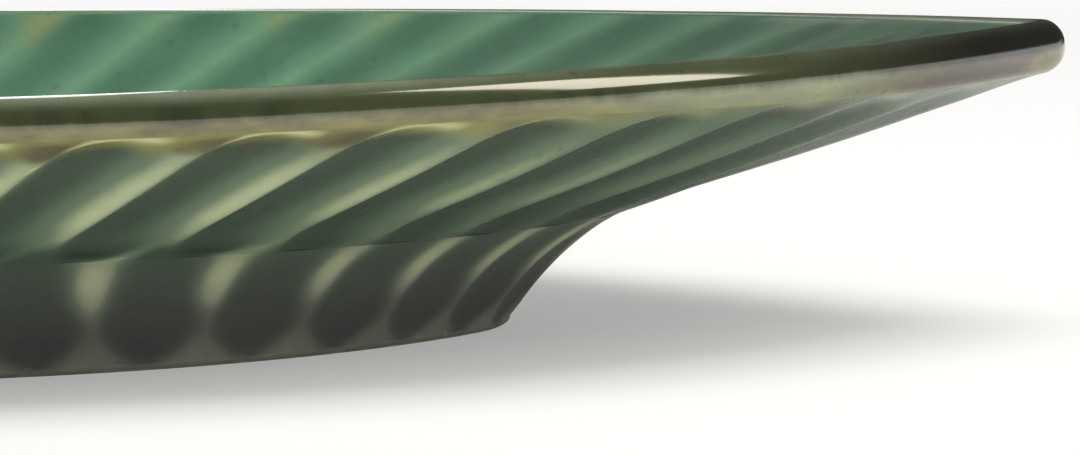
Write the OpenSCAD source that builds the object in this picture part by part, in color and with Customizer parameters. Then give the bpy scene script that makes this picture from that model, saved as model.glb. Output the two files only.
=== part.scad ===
// Leaf-shaped serving plate of glazed stoneware: a pressed leaf dish with veined walls,
// a rounded coil along its rim and a scooped foot ring under it.
// Millimetres. The tip points along +X, the plate stands on Z = 0, and the middle of its box is at X = Y = 0.

/* [Leaf] */
// Length from the stem end to the tip
plate_len = 300; // [250:5:350]
// Width across the widest section
plate_w = 200; // [170:5:230]
// Distance of the widest section from the stem end
widest_from_stem = 130; // [115:5:150]
// Radius of the leaf's tip, seen from above
tip_r = 9; // [7:1:14]
// Radius of the stem end, seen from above
stem_r = 40; // [20:5:60]

/* [Rim] */
// Height of the lip at the widest section
rim_h = 34.8; // [31:0.2:42]
// Extra height of the lip at the tip
tip_rise = 4.2; // [0:0.2:8]
// Extra height of the lip at the stem end
stem_rise = 2.4; // [0:0.2:6]
// Width of the rounded lip
lip_w = 6.2; // [5.6:0.2:8]
// Height of the rounded lip
lip_h = 6.8; // [6:0.2:8]

/* [Dish] */
// Thickness of the sloping wall at the floor, between its veins
wall_t = 4.6; // [3.6:0.2:5.6]
// Thickness of the floor
floor_t = 5.2; // [4:0.2:7]
// Radius-like length of the blend from floor to wall
floor_blend = 8; // [4:0.5:10]
// Width of the midrib along the floor
rib_w = 6; // [3:0.5:10]
// Height of the midrib above the floor
rib_h = 1.2; // [0.4:0.1:2]
// Distance of the midrib's tip from the tip end of the flat floor
rib_tip_gap = 8; // [4:1:20]
// Distance of the midrib's root from the stem end of the flat floor
rib_stem_gap = 4; // [2:1:12]

/* [Foot] */
// Height of the foot ring, from the table to the dish
foot_h = 15; // [11:0.5:18]
// Reach of the rim beyond the foot's base at the widest section
side_overhang = 32; // [26:1:38]
// Reach of the rim beyond the foot's base at the tip
tip_overhang = 72; // [60:1:84]
// Reach of the rim beyond the foot's base at the stem end
stem_overhang = 40; // [34:1:52]
// Reach of the foot's top beyond its base
foot_splay = 16; // [11:0.5:19]
// Thickness of the foot ring's wall, measured level
foot_wall = 8; // [6:0.5:10]
// Radius of the tip end of the foot's base, seen from above
foot_tip_r = 28; // [20:1:34]
// Radius of the stem end of the foot's base, seen from above
foot_stem_r = 36; // [24:1:44]
// Radius of the foot's lower edge
foot_edge = 1; // [0.4:0.2:2]

/* [Veins] */
// Scoops along each side of the wall
scoops = 21; // [15:1:24]
// Scoops along each side of the foot
foot_scoops = 19; // [13:1:22]
// Depth of the scoops outside the wall
wall_scoop = 1.8; // [0.6:0.1:2.2]
// Depth of the scoops inside the wall
inner_scoop = 0.8; // [0.2:0.1:1.2]
// Depth of the scoops round the foot
foot_scoop = 1.6; // [0.6:0.1:2.4]
// How much wider the foot's scoops are at its sides than at its ends
foot_spread = 0.6; // [0:0.1:1]

/* [Hidden] */

// Columns of faces across one scoop, round the whole wall and round the whole foot
scoop_cols = 4;
cols = 2 * scoops * scoop_cols;
foot_cols = 2 * foot_scoops * scoop_cols;
// Rows of faces up each surface
wall_rows = 9;
blend_rows = 3;
inner_rows = 5;
floor_rows = 2;
lip_rows = 8;
foot_rows = 6;

// Power by which a scoop is steeper on its stem side than on its tip side
scoop_skew = 0.6;
// Shares of the wall's height at which the outer scoops start to close, and are closed, under the lip
wall_close = [0.75, 0.995];
// Share of the wall's height over which the outer scoops open above the foot, and how closed they start
wall_open = 0.2;
wall_open_cut = 0.45;
// Shares of the inner wall at which the inner scoops start to close, and are closed, under the lip
inner_close = [0.5, 0.97];
// Share of the way from tip to stem where the foot's scoops are widest
foot_widest = 0.42;
// How far the foot's scoops swing towards the tip on their way down
foot_swing = 0.11;
// Share of the foot's height where its oval scoops are broadest, how closed they are at both edges,
// and the power that fills out their hollows
foot_scoop_mid = 0.42;
foot_close = 1.05;
foot_scoop_fill = 0.6;
// Powers of the lip's rise towards the tip and towards the stem end
tip_rise_pow = 1.3;
stem_rise_pow = 1.6;
// Angles on the lip's section where the wall's outer and inner faces meet it
lip_seat_angle = -28;
lip_inner_angle = 125;
// Share of the foot's splay that lies in the hollow blend under the dish, and the power of that blend
foot_blend = 0.2;
foot_blend_pow = 6;
// Share of the midrib's length by which the floor's veins lean, at its middle
rib_lean = 0.15;
// Share of the midrib's width left at the tip, and how far its crest is drawn in along it and across it
rib_taper = 0.4;
rib_crest_in = 0.03;
rib_crest_side = 0.6;

widest_x = widest_from_stem - plate_len / 2;
front_len = plate_len - widest_from_stem;
lip_a = lip_w / 2;
lip_b = lip_h / 2;
floor_z = foot_h + floor_t;

// A leaf outline is [half width, reach to the tip, reach to the stem end, tip radius, stem radius].
rim_leaf = [plate_w / 2, front_len, widest_from_stem, tip_r, stem_r];
base_leaf = [
    plate_w / 2 - side_overhang,
    front_len - tip_overhang,
    widest_from_stem - stem_overhang,
    foot_tip_r,
    foot_stem_r,
];

// The same outline grown by d on every side
function grown(leaf, d) = [for (v = leaf) v + d];

crease_leaf = grown(base_leaf, foot_splay);

// One half of a leaf is an end arc that runs into a side arc.
// These are the side's radius, and the angle at which the two arcs meet.
function side_r(half_w, reach, end_r) =
    (pow(reach - end_r, 2) + pow(half_w, 2) - pow(end_r, 2)) / (2 * (half_w - end_r));
function end_angle(half_w, reach, end_r) = atan2(side_r(half_w, reach, end_r) - half_w, reach - end_r);
function arc_len(r, angle) = r * angle * PI / 180;
function half_len(half_w, reach, end_r) =
    let (meet = end_angle(half_w, reach, end_r))
    arc_len(end_r, meet) + arc_len(side_r(half_w, reach, end_r), 90 - meet);

// Point and level normal of one half, at distance s along it from its end: [x, y, normal x, normal y]
function half_at(half_w, reach, end_r, s) =
    let (
        r = side_r(half_w, reach, end_r),
        meet = end_angle(half_w, reach, end_r),
        end_len = arc_len(end_r, meet),
        angle = s < end_len ? s / arc_len(end_r, 1) : meet + (s - end_len) / arc_len(r, 1)
    )
    angle < meet
        ? [reach - end_r + end_r * cos(angle), end_r * sin(angle), cos(angle), sin(angle)]
        : [r * cos(angle), half_w - r + r * sin(angle), cos(angle), sin(angle)];

// The same on a whole side of a leaf, at the share u of the way from its tip to its stem end
function leaf_at(leaf, u) =
    let (
        front = half_len(leaf[0], leaf[1], leaf[3]),
        rear = half_len(leaf[0], leaf[2], leaf[4]),
        s = u * (front + rear)
    )
    s <= front
        ? let (p = half_at(leaf[0], leaf[1], leaf[3], s)) [widest_x + p[0], p[1], p[2], p[3]]
        : let (p = half_at(leaf[0], leaf[2], leaf[4], front + rear - s)) [widest_x - p[0], p[1], -p[2], p[3]];

// Columns, n in all, run from the tip round the +Y side to the stem end and back round the -Y side.
function col_u(i, n) = i <= n / 2 ? 2 * i / n : 2 - 2 * i / n;
function col_side(i, n) = i <= n / 2 ? 1 : -1;
function mirrored(p, side) = [p[0], side * p[1], p[2], side * p[3]];
// A vein lies at the same share of the rim, of the crease under it and of the floor's edge.
function outline(leaf) = [for (i = [0:cols - 1]) mirrored(leaf_at(leaf, col_u(i, cols)), col_side(i, cols))];

rim_line = outline(rim_leaf);
crease_line = outline(crease_leaf);

// Where the share u lies across its scoop, from the ridge on the scoop's stem side to the one on its tip side
function across(u, count) = let (x = u * count + 0.5) 1 - (x - floor(x));
// Share of a wall scoop's depth: steep on its stem side
function skewed(i) = sin(180 * pow(across(col_u(i, cols), scoops), scoop_skew));
// A scoop that closes to a rounded end as shut goes from 0 to 1
function closing(share, shut) = max(0, share - shut);
function ramp(v, span) = pow(max(0, (v - span[0]) / (span[1] - span[0])), 2);

// Height of the lip's top, and of the middle of its section, at the share u
widest_u =
    half_len(rim_leaf[0], rim_leaf[1], tip_r)
    / (half_len(rim_leaf[0], rim_leaf[1], tip_r) + half_len(rim_leaf[0], rim_leaf[2], stem_r));
function lip_top(u) = rim_h
    + (u < widest_u
        ? tip_rise * pow(1 - u / widest_u, tip_rise_pow)
        : stem_rise * pow((u - widest_u) / (1 - widest_u), stem_rise_pow));
function lip_mid(i) = lip_top(col_u(i, cols)) - lip_b;

// Point of column i on the rim, d inside the leaf's outline and at height z
function rim_point(i, d, z) = let (p = rim_line[i]) [p[0] - d * p[2], p[1] - d * p[3], z];
function lip_point(i, angle) = rim_point(i, lip_a - lip_a * cos(angle), lip_mid(i) + lip_b * sin(angle));

// Outer and inner top edges of the wall, under the lip
wall_top = [for (i = [0:cols - 1]) lip_point(i, lip_seat_angle)];
inner_top = [for (i = [0:cols - 1]) lip_point(i, lip_inner_angle)];
crease = [for (p = crease_line) [p[0], p[1], foot_h]];
// Slope of the wall at each column, square to the rim
slope = [for (i = [0:cols - 1])
    let (d = wall_top[i] - crease[i], n = rim_line[i]) atan2(d[2], d[0] * n[2] + d[1] * n[3])];
// Direction into the clay from the wall's outer face
function inward(i) = [-rim_line[i][2] * sin(slope[i]), -rim_line[i][3] * sin(slope[i]), cos(slope[i])];

// The floor meets the wall's inner face in a leaf inside the crease, set by the wall at the widest section.
side_slope = slope[round(widest_u * cols / 2)];
floor_inset = wall_t * sin(side_slope) - (floor_t - wall_t * cos(side_slope)) / tan(side_slope);
floor_leaf = grown(crease_leaf, -floor_inset);
floor_line = outline(floor_leaf);

// Rows of the dish, from the crease up the outer wall, over its top edge and down inside to the midrib
function eased(v) = (1 - cos(180 * v)) / 2;
function wall_row(v) = [for (i = [0:cols - 1])
    let (
        shut = ramp(v, wall_close) + wall_open_cut * ramp(-v, [-wall_open, 0]),
        depth = wall_scoop * closing(skewed(i), shut),
        in = inward(i),
        lift = min(1, v / wall_open)
    )
    crease[i] + v * (wall_top[i] - crease[i]) + depth * [in[0], in[1], lift * in[2]]];

function floor_edge(i) = [floor_line[i][0], floor_line[i][1], floor_z];
function unit(v) = v / norm(v);
// Towards the midrib along the floor, and up the wall, from the floor's edge
function floor_way(i) = -floor_blend * [floor_line[i][2], floor_line[i][3], 0];
function wall_way(i) = floor_blend * unit(inner_top[i] - floor_edge(i));
// Depth of the inner face's relief: scoops between the veins, and the midrib's ridge, which fades up the wall
function on_midrib(i) = i % (cols / 2) == 0;
function inner_depth(i, v) =
    on_midrib(i) ? -rib_h * (1 - v) : inner_scoop * closing(skewed(i), ramp(v, inner_close));
function blend_row(t) = [for (i = [0:cols - 1])
    floor_edge(i) + pow(1 - t, 2) * floor_way(i) + t * t * wall_way(i) - [0, 0, inner_depth(i, 0)]];
function inner_row(v) = [for (i = [0:cols - 1])
    let (low = floor_edge(i) + wall_way(i), into = (1 - v) * [0, 0, 1] + v * inward(i))
    low + v * (inner_top[i] - low) - inner_depth(i, v) * into];

// The flat of the floor, and the midrib along it: a slim leaf that stops short of both ends of the floor
function flat_point(i) = floor_edge(i) + floor_way(i);
flat_stem_x = flat_point(cols / 2)[0];
flat_len = flat_point(0)[0] - flat_stem_x;
rib_len = flat_len - rib_tip_gap - rib_stem_gap;
// Where the vein of column i leaves the midrib, set back towards the stem end
function rib_x(i) =
    let (share = (flat_point(i)[0] - flat_stem_x) / flat_len)
    flat_stem_x + rib_stem_gap + rib_len * (share - rib_lean * sin(180 * share));
function rib_half(u) = rib_w / 2 * sqrt(sin(180 * u)) * (rib_taper + (1 - rib_taper) * u);
function rib_point(i) = [rib_x(i), col_side(i, cols) * rib_half(col_u(i, cols)), floor_z];
function floor_row(w) = [for (i = [0:cols - 1])
    w * flat_point(i) + (1 - w) * rib_point(i) - [0, 0, (on_midrib(i) ? 1 : w) * inner_depth(i, 0)]];
// The crest is the midrib's outline drawn in towards its own middle and raised.
rib_middle = [(rib_x(0) + rib_x(cols / 2)) / 2, 0, floor_z];
function crest_row() = [for (i = [0:cols - 1])
    let (p = rib_point(i), in = rib_middle - p) p + [rib_crest_in * in[0], rib_crest_side * in[1], rib_h]];

// Columns of the foot at the share w of its height, on its base's outline grown by d
function foot_u(u, w) = u + u * (1 - u) * (foot_spread * (u - foot_widest) - foot_swing * (1 - w));
function foot_line(d, w) = [for (i = [0:foot_cols - 1])
    mirrored(leaf_at(grown(base_leaf, d), foot_u(col_u(i, foot_cols), w)), col_side(i, foot_cols))];
// Rings of the foot: its scooped outer face, and the plain edges of its wall
function foot_reach(w) = foot_splay * ((1 - foot_blend) * w + foot_blend * pow(w, foot_blend_pow));
function off_mid(w) = (w - foot_scoop_mid) / (w < foot_scoop_mid ? foot_scoop_mid : 1 - foot_scoop_mid);
function hollow(i) = pow(sin(180 * across(col_u(i, foot_cols), foot_scoops)), foot_scoop_fill);
function foot_row(w) =
    let (line = foot_line(foot_reach(w), w), shut = foot_close * pow(off_mid(w), 2))
    [for (i = [0:foot_cols - 1])
        let (p = line[i], depth = foot_scoop * closing(hollow(i), shut))
        [p[0] - depth * p[2], p[1] - depth * p[3], w * foot_h]];
function edge_row(d, w) = [for (p = foot_line(d, w)) [p[0], p[1], w * foot_h]];

// Faces between ring a and ring b of a stack of rings of n points, with the diagonal one way or the other
function strip(a, b, n, turned) = [for (i = [0:n - 1])
    let (j = (i + 1) % n, p = a * n + i, q = a * n + j, r = b * n + j, s = b * n + i)
    each turned ? [[p, s, q], [q, s, r]] : [[p, s, r], [p, r, q]]];
// Faces that close a ring, from each column to the one across the leaf
function lid(a, n) = [for (i = [0:n / 2 - 1])
    let (p = a * n + i, q = p + 1, r = a * n + (n - i - 1) % n, s = a * n + (n - i) % n)
    each [if (q != r) [p, q, r], if (p != s) [p, r, s]]];
function flipped(faces) = [for (f = faces) [f[2], f[1], f[0]]];
function joined(rings) = [for (ring = rings) each ring];

// A hoop: rings that run once round its section and meet again
module hoop(rings) {
    count = len(rings);
    faces = [for (r = [0:count - 1]) each strip(r, (r + 1) % count, len(rings[0]), true)];
    polyhedron(joined(rings), faces);
}

// A bowl: rings from its underside, out over the rim and in again to the middle of its floor
module bowl(rings) {
    last = len(rings) - 1;
    n = len(rings[0]);
    faces = [for (r = [0:last - 1]) each strip(r, r + 1, n, false)];
    polyhedron(joined(rings), concat(lid(0, n), faces, flipped(lid(last, n))));
}

module leaf_dish() {
    color("#4f7a62") bowl([
        for (r = [0:wall_rows]) wall_row(eased(r / wall_rows)),
        for (r = [0:inner_rows - 1]) inner_row(1 - r / inner_rows),
        for (r = [0:blend_rows]) blend_row(1 - r / blend_rows),
        for (r = [1:floor_rows]) floor_row(1 - r / floor_rows),
        crest_row(),
    ]);
}

// The coil's section runs from the wall's outer edge over the lip to its inner edge.
// The flat between these two edges is its seat on the wall.
module rim_coil() {
    color("#4b4a2b") hoop([
        for (r = [0:lip_rows])
            let (angle = lip_seat_angle + r / lip_rows * (lip_inner_angle - lip_seat_angle))
            [for (i = [0:cols - 1]) lip_point(i, angle)],
    ]);
}

// The foot's section runs up its scooped outer face, across its seat under the dish and down its inner face.
module foot_ring() {
    low = foot_edge / foot_h;
    color("#3d4a44") hoop([
        edge_row(-foot_edge, 0),
        for (r = [0:foot_rows]) foot_row(low + r / foot_rows * (1 - low)),
        edge_row(foot_splay * (1 - foot_blend) - foot_wall, 1),
        edge_row(-foot_wall, 0),
    ]);
}

leaf_dish();
rim_coil();
foot_ring();
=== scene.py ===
"""Leaf-shaped stoneware plate: its glazed dish, rim coil and foot ring, on a white studio table.

Metres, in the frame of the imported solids: the tip points along +X and the plate stands on Z = 0.
"""

import math

import bpy
import numpy as np
from bpy.props import FloatProperty, FloatVectorProperty, IntProperty, PointerProperty
from bpy.types import NodeSocket, Operator, Panel, PropertyGroup
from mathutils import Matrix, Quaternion, Vector


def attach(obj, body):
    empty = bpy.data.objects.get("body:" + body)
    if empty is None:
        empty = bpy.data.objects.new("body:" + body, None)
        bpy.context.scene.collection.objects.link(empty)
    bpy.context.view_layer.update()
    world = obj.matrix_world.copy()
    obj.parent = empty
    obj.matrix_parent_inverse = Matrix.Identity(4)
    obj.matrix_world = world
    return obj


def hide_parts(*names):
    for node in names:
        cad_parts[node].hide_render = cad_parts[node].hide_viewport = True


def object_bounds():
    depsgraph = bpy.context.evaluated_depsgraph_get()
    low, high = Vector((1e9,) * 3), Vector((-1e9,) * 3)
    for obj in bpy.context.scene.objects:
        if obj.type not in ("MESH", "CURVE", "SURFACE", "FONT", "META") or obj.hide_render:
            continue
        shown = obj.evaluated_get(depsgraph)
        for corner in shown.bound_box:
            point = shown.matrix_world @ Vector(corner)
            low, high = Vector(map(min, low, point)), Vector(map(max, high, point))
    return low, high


bl_info = {
    "name": "Leaf Plate",
    "version": (1, 0, 0),
    "blender": (4, 5, 0),
    "location": "View3D > Sidebar > Leaf Plate",
    "description": "Builds a leaf-shaped plate of glazed stoneware and the table it stands on",
    "category": "Add Mesh",
}

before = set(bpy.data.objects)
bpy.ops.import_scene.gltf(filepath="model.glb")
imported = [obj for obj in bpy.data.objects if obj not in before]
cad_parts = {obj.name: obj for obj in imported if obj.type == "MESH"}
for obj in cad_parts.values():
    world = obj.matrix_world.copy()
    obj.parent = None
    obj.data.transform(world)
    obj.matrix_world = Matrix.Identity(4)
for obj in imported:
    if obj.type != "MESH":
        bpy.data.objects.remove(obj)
SOLID_LOW, SOLID_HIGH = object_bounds()
SOLID_SIZE = SOLID_HIGH - SOLID_LOW


def length(name, description, default):
    return FloatProperty(
        name=name, description=description, default=default, min=0.0, unit="LENGTH", precision=4,
    )


def colour(name, description, default):
    return FloatVectorProperty(
        name=name, description=description, default=default, subtype="COLOR", min=0.0, max=1.0,
    )


def count(name, description, default):
    return IntProperty(name=name, description=description, default=default, min=9, max=30)


def share(name, description, default):
    return FloatProperty(name=name, description=description, default=default, min=0.0, max=1.0)


class LeafPlateSizes(PropertyGroup):
    """Sizes of the plate."""

    plate_len: length("Length", "From the stem end to the tip", SOLID_SIZE.x)
    plate_w: length("Width", "Across the widest section", SOLID_SIZE.y)
    widest_from_stem: length("Widest Section", "Distance of the widest section from the stem end", 0.130)
    tip_r: length("Tip Radius", "Radius of the leaf's tip, seen from above", 0.009)
    stem_r: length("Stem Radius", "Radius of the stem end, seen from above", 0.040)
    tip_h: length("Tip Height", "Height of the lip at the tip", SOLID_HIGH.z)
    tip_rise: length("Tip Rise", "How far the lip rises from the widest section to the tip", 0.0042)
    stem_rise: length("Stem Rise", "How far the lip rises from the widest section to the stem end", 0.0024)
    lip_w: length("Lip Width", "Width of the rounded lip", 0.0062)
    lip_h: length("Lip Height", "Height of the rounded lip", 0.0068)
    wall_t: length("Wall", "Thickness of the sloping wall at the floor", 0.0046)
    floor_t: length("Floor", "Thickness of the floor", 0.0052)
    floor_blend: length("Floor Blend", "Reach of the blend from floor to wall", 0.008)
    rib_w: length("Midrib Width", "Width of the midrib along the floor", 0.006)
    rib_h: length("Midrib Height", "Height of the midrib above the floor", 0.0012)
    foot_h: length("Foot Height", "From the table to the dish", 0.015)
    side_overhang: length("Side Overhang", "Reach of the rim beyond the foot at the widest section", 0.032)
    tip_overhang: length("Tip Overhang", "Reach of the rim beyond the foot at the tip", 0.072)
    stem_overhang: length("Stem Overhang", "Reach of the rim beyond the foot at the stem end", 0.040)
    foot_splay: length("Foot Splay", "Reach of the foot's top beyond its base", 0.016)
    foot_wall: length("Foot Wall", "Thickness of the foot ring, measured level", 0.008)
    foot_tip_r: length("Foot Tip Radius", "Radius of the tip end of the foot's base", 0.028)
    foot_stem_r: length("Foot Stem Radius", "Radius of the stem end of the foot's base", 0.036)
    foot_edge: length("Foot Edge", "Radius of the foot's lower edge", 0.001)
    scoops: count("Scoops", "Scoops along each side of the wall", 21)
    foot_scoops: count("Foot Scoop Count", "Scoops along each side of the foot", 19)
    wall_scoop: length("Wall Scoops", "Depth of the scoops outside the wall", 0.0018)
    inner_scoop: length("Inner Scoops", "Depth of the scoops inside the wall", 0.0008)
    foot_scoop: length("Foot Scoops", "Depth of the scoops round the foot", 0.0016)
    foot_spread: share("Foot Spread", "How far the foot's scoops spread from its sides to its ends", 0.6)


class LeafPlateGlazes(PropertyGroup):
    """Colours of the plate's glazes and clay."""

    thin: colour("Thin Glaze", "Where the glaze breaks over a ridge", (0.68, 0.74, 0.46))
    half: colour("Half Glaze", "On the slopes beside a ridge", (0.195, 0.26, 0.168))
    full: colour("Full Glaze", "Where the glaze has its full thickness", (0.114, 0.168, 0.115))
    deep: colour("Deep Glaze", "Where the glaze pools", (0.060, 0.089, 0.063))
    crest: colour("Crest Glaze", "Along the upper ends of the scoops", (0.68, 0.68, 0.36))
    # edge also pales the lip's top line, partly a painted highlight, and its underside near the tip, a
    # painted reflection
    edge: colour("Edge Glaze", "Where the glaze breaks over the lip's top", (0.31, 0.38, 0.25))
    inner_thin: colour("Inner Thin Glaze", "Over the ridges inside", (0.24, 0.43, 0.27))
    inner_half: colour("Inner Half Glaze", "Beside the ridges inside", (0.165, 0.325, 0.20))
    inner_full: colour("Inner Glaze", "Inside the dish", (0.105, 0.235, 0.15))
    inner_deep: colour("Inner Deep Glaze", "In the hollows inside", (0.072, 0.155, 0.10))
    # tan and stain also mottle the lip's lower side, partly as a painted reflection of the white table
    tan: colour("Rim Tan", "Run-off on the wall under the lip", (0.29, 0.285, 0.10))
    stain: colour("Rim Stain", "Iron stain in the run-off", (0.085, 0.070, 0.052))
    # olive and iron darken the lip's top, near black at the tip, partly as a painted reflection of the dark
    # room
    olive: colour("Rim Olive", "Over the lip", (0.051, 0.063, 0.027))
    iron: colour("Rim Iron", "Darkest part of the lip", (0.008, 0.008, 0.005))
    foot_thin: colour("Foot Thin Glaze", "Between the foot's scoops", (0.48, 0.49, 0.36))
    foot_half: colour("Foot Half Glaze", "Beside the foot's scoops", (0.285, 0.295, 0.23))
    foot_full: colour("Foot Glaze", "In the foot's scoops", (0.14, 0.15, 0.13))
    foot_deep: colour("Foot Deep Glaze", "In the middle of the foot's scoops", (0.081, 0.085, 0.078))
    clay: colour("Bare Clay", "Wiped standing edge of the foot", (0.50, 0.41, 0.31))


# Columns of faces across a scoop, and rows of points over each part of the surface
SCOOP_COLUMNS = 20
OUTER_ROWS = 45
INNER_ROWS = 33
BLEND_ROWS = 13
FLOOR_ROWS = 15
RIB_ROWS = 6
LIP_ROWS = 35
FOOT_ROWS = 33
FOOT_INNER_ROWS = 9
EDGE_ROWS = 5
# Edges that bend further than this stay sharp
SHARP_BEND = math.radians(40)
# Powers of the lip's rise to the tip and to the stem end
TIP_RISE_POWER = 1.3
STEM_RISE_POWER = 1.6
# Power by which a scoop is steeper on its stem side
SCOOP_SKEW = 0.6
# Shares of the wall's height where its scoops start to close and are closed, outside and inside
WALL_CLOSE = (0.75, 0.995)
INNER_CLOSE = (0.5, 0.97)
# Share of the wall's height over which its scoops open above the crease, and how far the crease closes them
WALL_OPEN = 0.16
WALL_OPEN_CUT = 0.8
# Share of the way from tip to stem from which the foot's scoops spread, and their swing to the tip below
FOOT_SPREAD_FROM = 0.42
FOOT_SWING = 0.11
# Share of the foot's height where its scoops are broadest, how far they close, and the power that fills them
FOOT_SCOOP_MID = 0.42
FOOT_CLOSE = 1.05
FOOT_SCOOP_FILL = 0.6
# Angles on the lip's section where the wall's outer and inner faces meet it
LIP_SEAT = math.radians(-28)
LIP_INNER = math.radians(125)
# Share of the foot's splay in the hollow blend under the dish, and the power of that blend
FOOT_BLEND = 0.2
FOOT_BLEND_POWER = 6
# Midrib: gaps to the floor's ends and half width of its run up the wall in metres, lean of its veins, taper
RIB_TIP_GAP = 0.008
RIB_STEM_GAP = 0.004
RIB_RUN_HALF = 0.0016
RIB_LEAN = 0.15
RIB_TAPER = 0.4
# At the tip: the wall's belly in metres, how far the lip turns further down, and where each sets in
TIP_BELLY = 0.0007
TIP_BELLY_FROM = (0.2, 0.75)
TIP_LIP_TURN = math.radians(40)
TIP_LIP_FROM = (0.45, 0.95)
# The hand's unevenness: of a scoop's depth, of its upper end, of the skin in metres, of the lip's radii
SCOOP_UNEVEN = 0.16
SCOOP_END_UNEVEN = 0.05
SKIN_UNEVEN = 0.00012
LIP_UNEVEN = 0.03

# What the glazes read at each point: how thick they pool (on the outer wall with painted shade at the
# crease), crests above 0 and stain below, millimetres over the rim from the wall's upper edge, metres along
# it, nearness to the tip, height up the foot, bare clay
MASKS = ("pool", "ridge", "band", "run", "tip", "up", "bare")
# Millimetres over the rim that stand for the whole floor and for the dish's underside
FLOOR_BAND = 60
UNDER_BAND = -40
# Thickness of the glaze across a wall scoop, from its stem side to its tip side, and at the leaf's tip
GLAZE_ACROSS = (
    (0, 0.05, 0.11, 0.2, 0.45, 0.62, 0.8, 0.88, 0.95, 1),
    (0, 0.35, 0.9, 1, 1, 0.66, 0.3, 0.06, -0.06, -0.04),
)
GLAZE_ACROSS_TIP = ((0, 0.03, 0.08, 0.70, 0.86, 0.96, 1), (0.3, 0.7, 1, 1, 0.7, 0.1, 0.15))
# Share of the wall's height by which the pooled glaze stops short of a scoop's upper end
GLAZE_STOP = 0.05
# Crests over the pools: rise and half width in millimetres, and the nearness to the tip where they end
CREST_RISE = 1.1
CREST_HALF = 1.3
CREST_END = (0.42, 0.6)
# Bows of the foot's glaze between the wall's scoops: rise, height and half width of the dark line over them,
# which is painted shadow in the crease's slit, half width of their paler edge, all in millimetres, and the
# nearness to the tip where they end
BOW_RISE = 3.8
BOW_SHADOW_LINE = 1.3
BOW_SHADOW_LINE_HALF = 0.8
BOW_EDGE_HALF = 0.4
BOW_END = (0.42, 0.65)
# Height up the foot, the share of a scoop's hollow that its dark glaze needs, and the glaze between scoops
FOOT_HEIGHTS = (0, 0.07, 0.15, 0.3, 0.45, 0.6, 0.75, 0.9, 1)
FOOT_DARK_FROM = (1.2, 1.05, 0.81, 0.49, 0.49, 0.65, 0.72, 0.74, 0.78)
FOOT_BETWEEN = (0.42, 0.42, 0.45, 0.62, 0.58, 0.18, 0.0, 0.12, 0.3)


def half_arcs(half_w, reach, end_r):
    """Radius of a half leaf's side arc, the angle at which its end arc meets it, and the length of both."""
    side_r = ((reach - end_r) ** 2 + half_w**2 - end_r**2) / (2 * (half_w - end_r))
    meet = math.atan2(side_r - half_w, reach - end_r)
    return side_r, meet, end_r * meet + side_r * (math.pi / 2 - meet)


def along_half(half_w, reach, end_r, s):
    """Points and level normals of a half leaf, at distances s from its end."""
    side_r, meet, _ = half_arcs(half_w, reach, end_r)
    angle = np.where(s < end_r * meet, s / end_r, meet + (s - end_r * meet) / side_r)
    x = np.where(angle < meet, reach - end_r + end_r * np.cos(angle), side_r * np.cos(angle))
    y = np.where(angle < meet, end_r * np.sin(angle), half_w - side_r + side_r * np.sin(angle))
    return x, y, np.cos(angle), np.sin(angle)


def ramp(v, start, end):
    """0 up to start, and a squared rise from there through 1 at end."""
    return np.maximum(0, (v - start) / (end - start)) ** 2


def smooth(value, low, high):
    """0 below low, 1 above high and a smooth rise between."""
    t = np.clip((value - low) / (high - low), 0, 1)
    return t * t * (3 - 2 * t)


def softened(field, rounds):
    """The field with its sharp steps rounded, round the leaf and from ring to ring."""
    for _ in range(rounds):
        field = (np.roll(field, 1, 1) + 2 * field + np.roll(field, -1, 1)) / 4
        ends = np.concatenate([field[:1], field, field[-1:]])
        field = (ends[:-2] + 2 * field + ends[2:]) / 4
    return field


def unevenness(points, wave):
    """Slow waves between 0 and 1 over the surface, as a hand leaves them."""
    maker = np.random.default_rng(seed=5)
    total = np.zeros(points.shape[:-1])
    waves = 7
    for _ in range(waves):
        way = maker.normal(size=3)
        way *= 2 * math.pi / (wave * maker.uniform(0.6, 1.6)) / np.linalg.norm(way)
        total += np.sin(points @ way + maker.uniform(0, 2 * math.pi))
    return np.clip(0.5 + total / waves, 0, 1)


class Columns:
    """Columns of points from the tip round the +Y side to the stem end and back, grouped into scoops."""

    def __init__(self, scoops):
        turn = scoops * SCOOP_COLUMNS
        column = np.arange(2 * turn)
        self.count = 2 * turn
        self.side = np.where(column <= turn, 1.0, -1.0)
        self.u = np.where(column <= turn, column / turn, 2 - column / turn)
        place = self.u * scoops + 0.5
        number = np.floor(place).astype(int)
        self.across = 1 - (place - number)
        hand = np.random.default_rng(seed=3)
        deep = 1 - SCOOP_UNEVEN * hand.random((2, scoops + 2))
        late = SCOOP_END_UNEVEN * (hand.random((2, scoops + 2)) - 0.5)
        for of_side in (deep, late):
            of_side[1, [0, scoops]] = of_side[0, [0, scoops]]
        row = (self.side < 0).astype(int)
        self.deep = deep[row, number]
        self.late = late[row, number]


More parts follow.
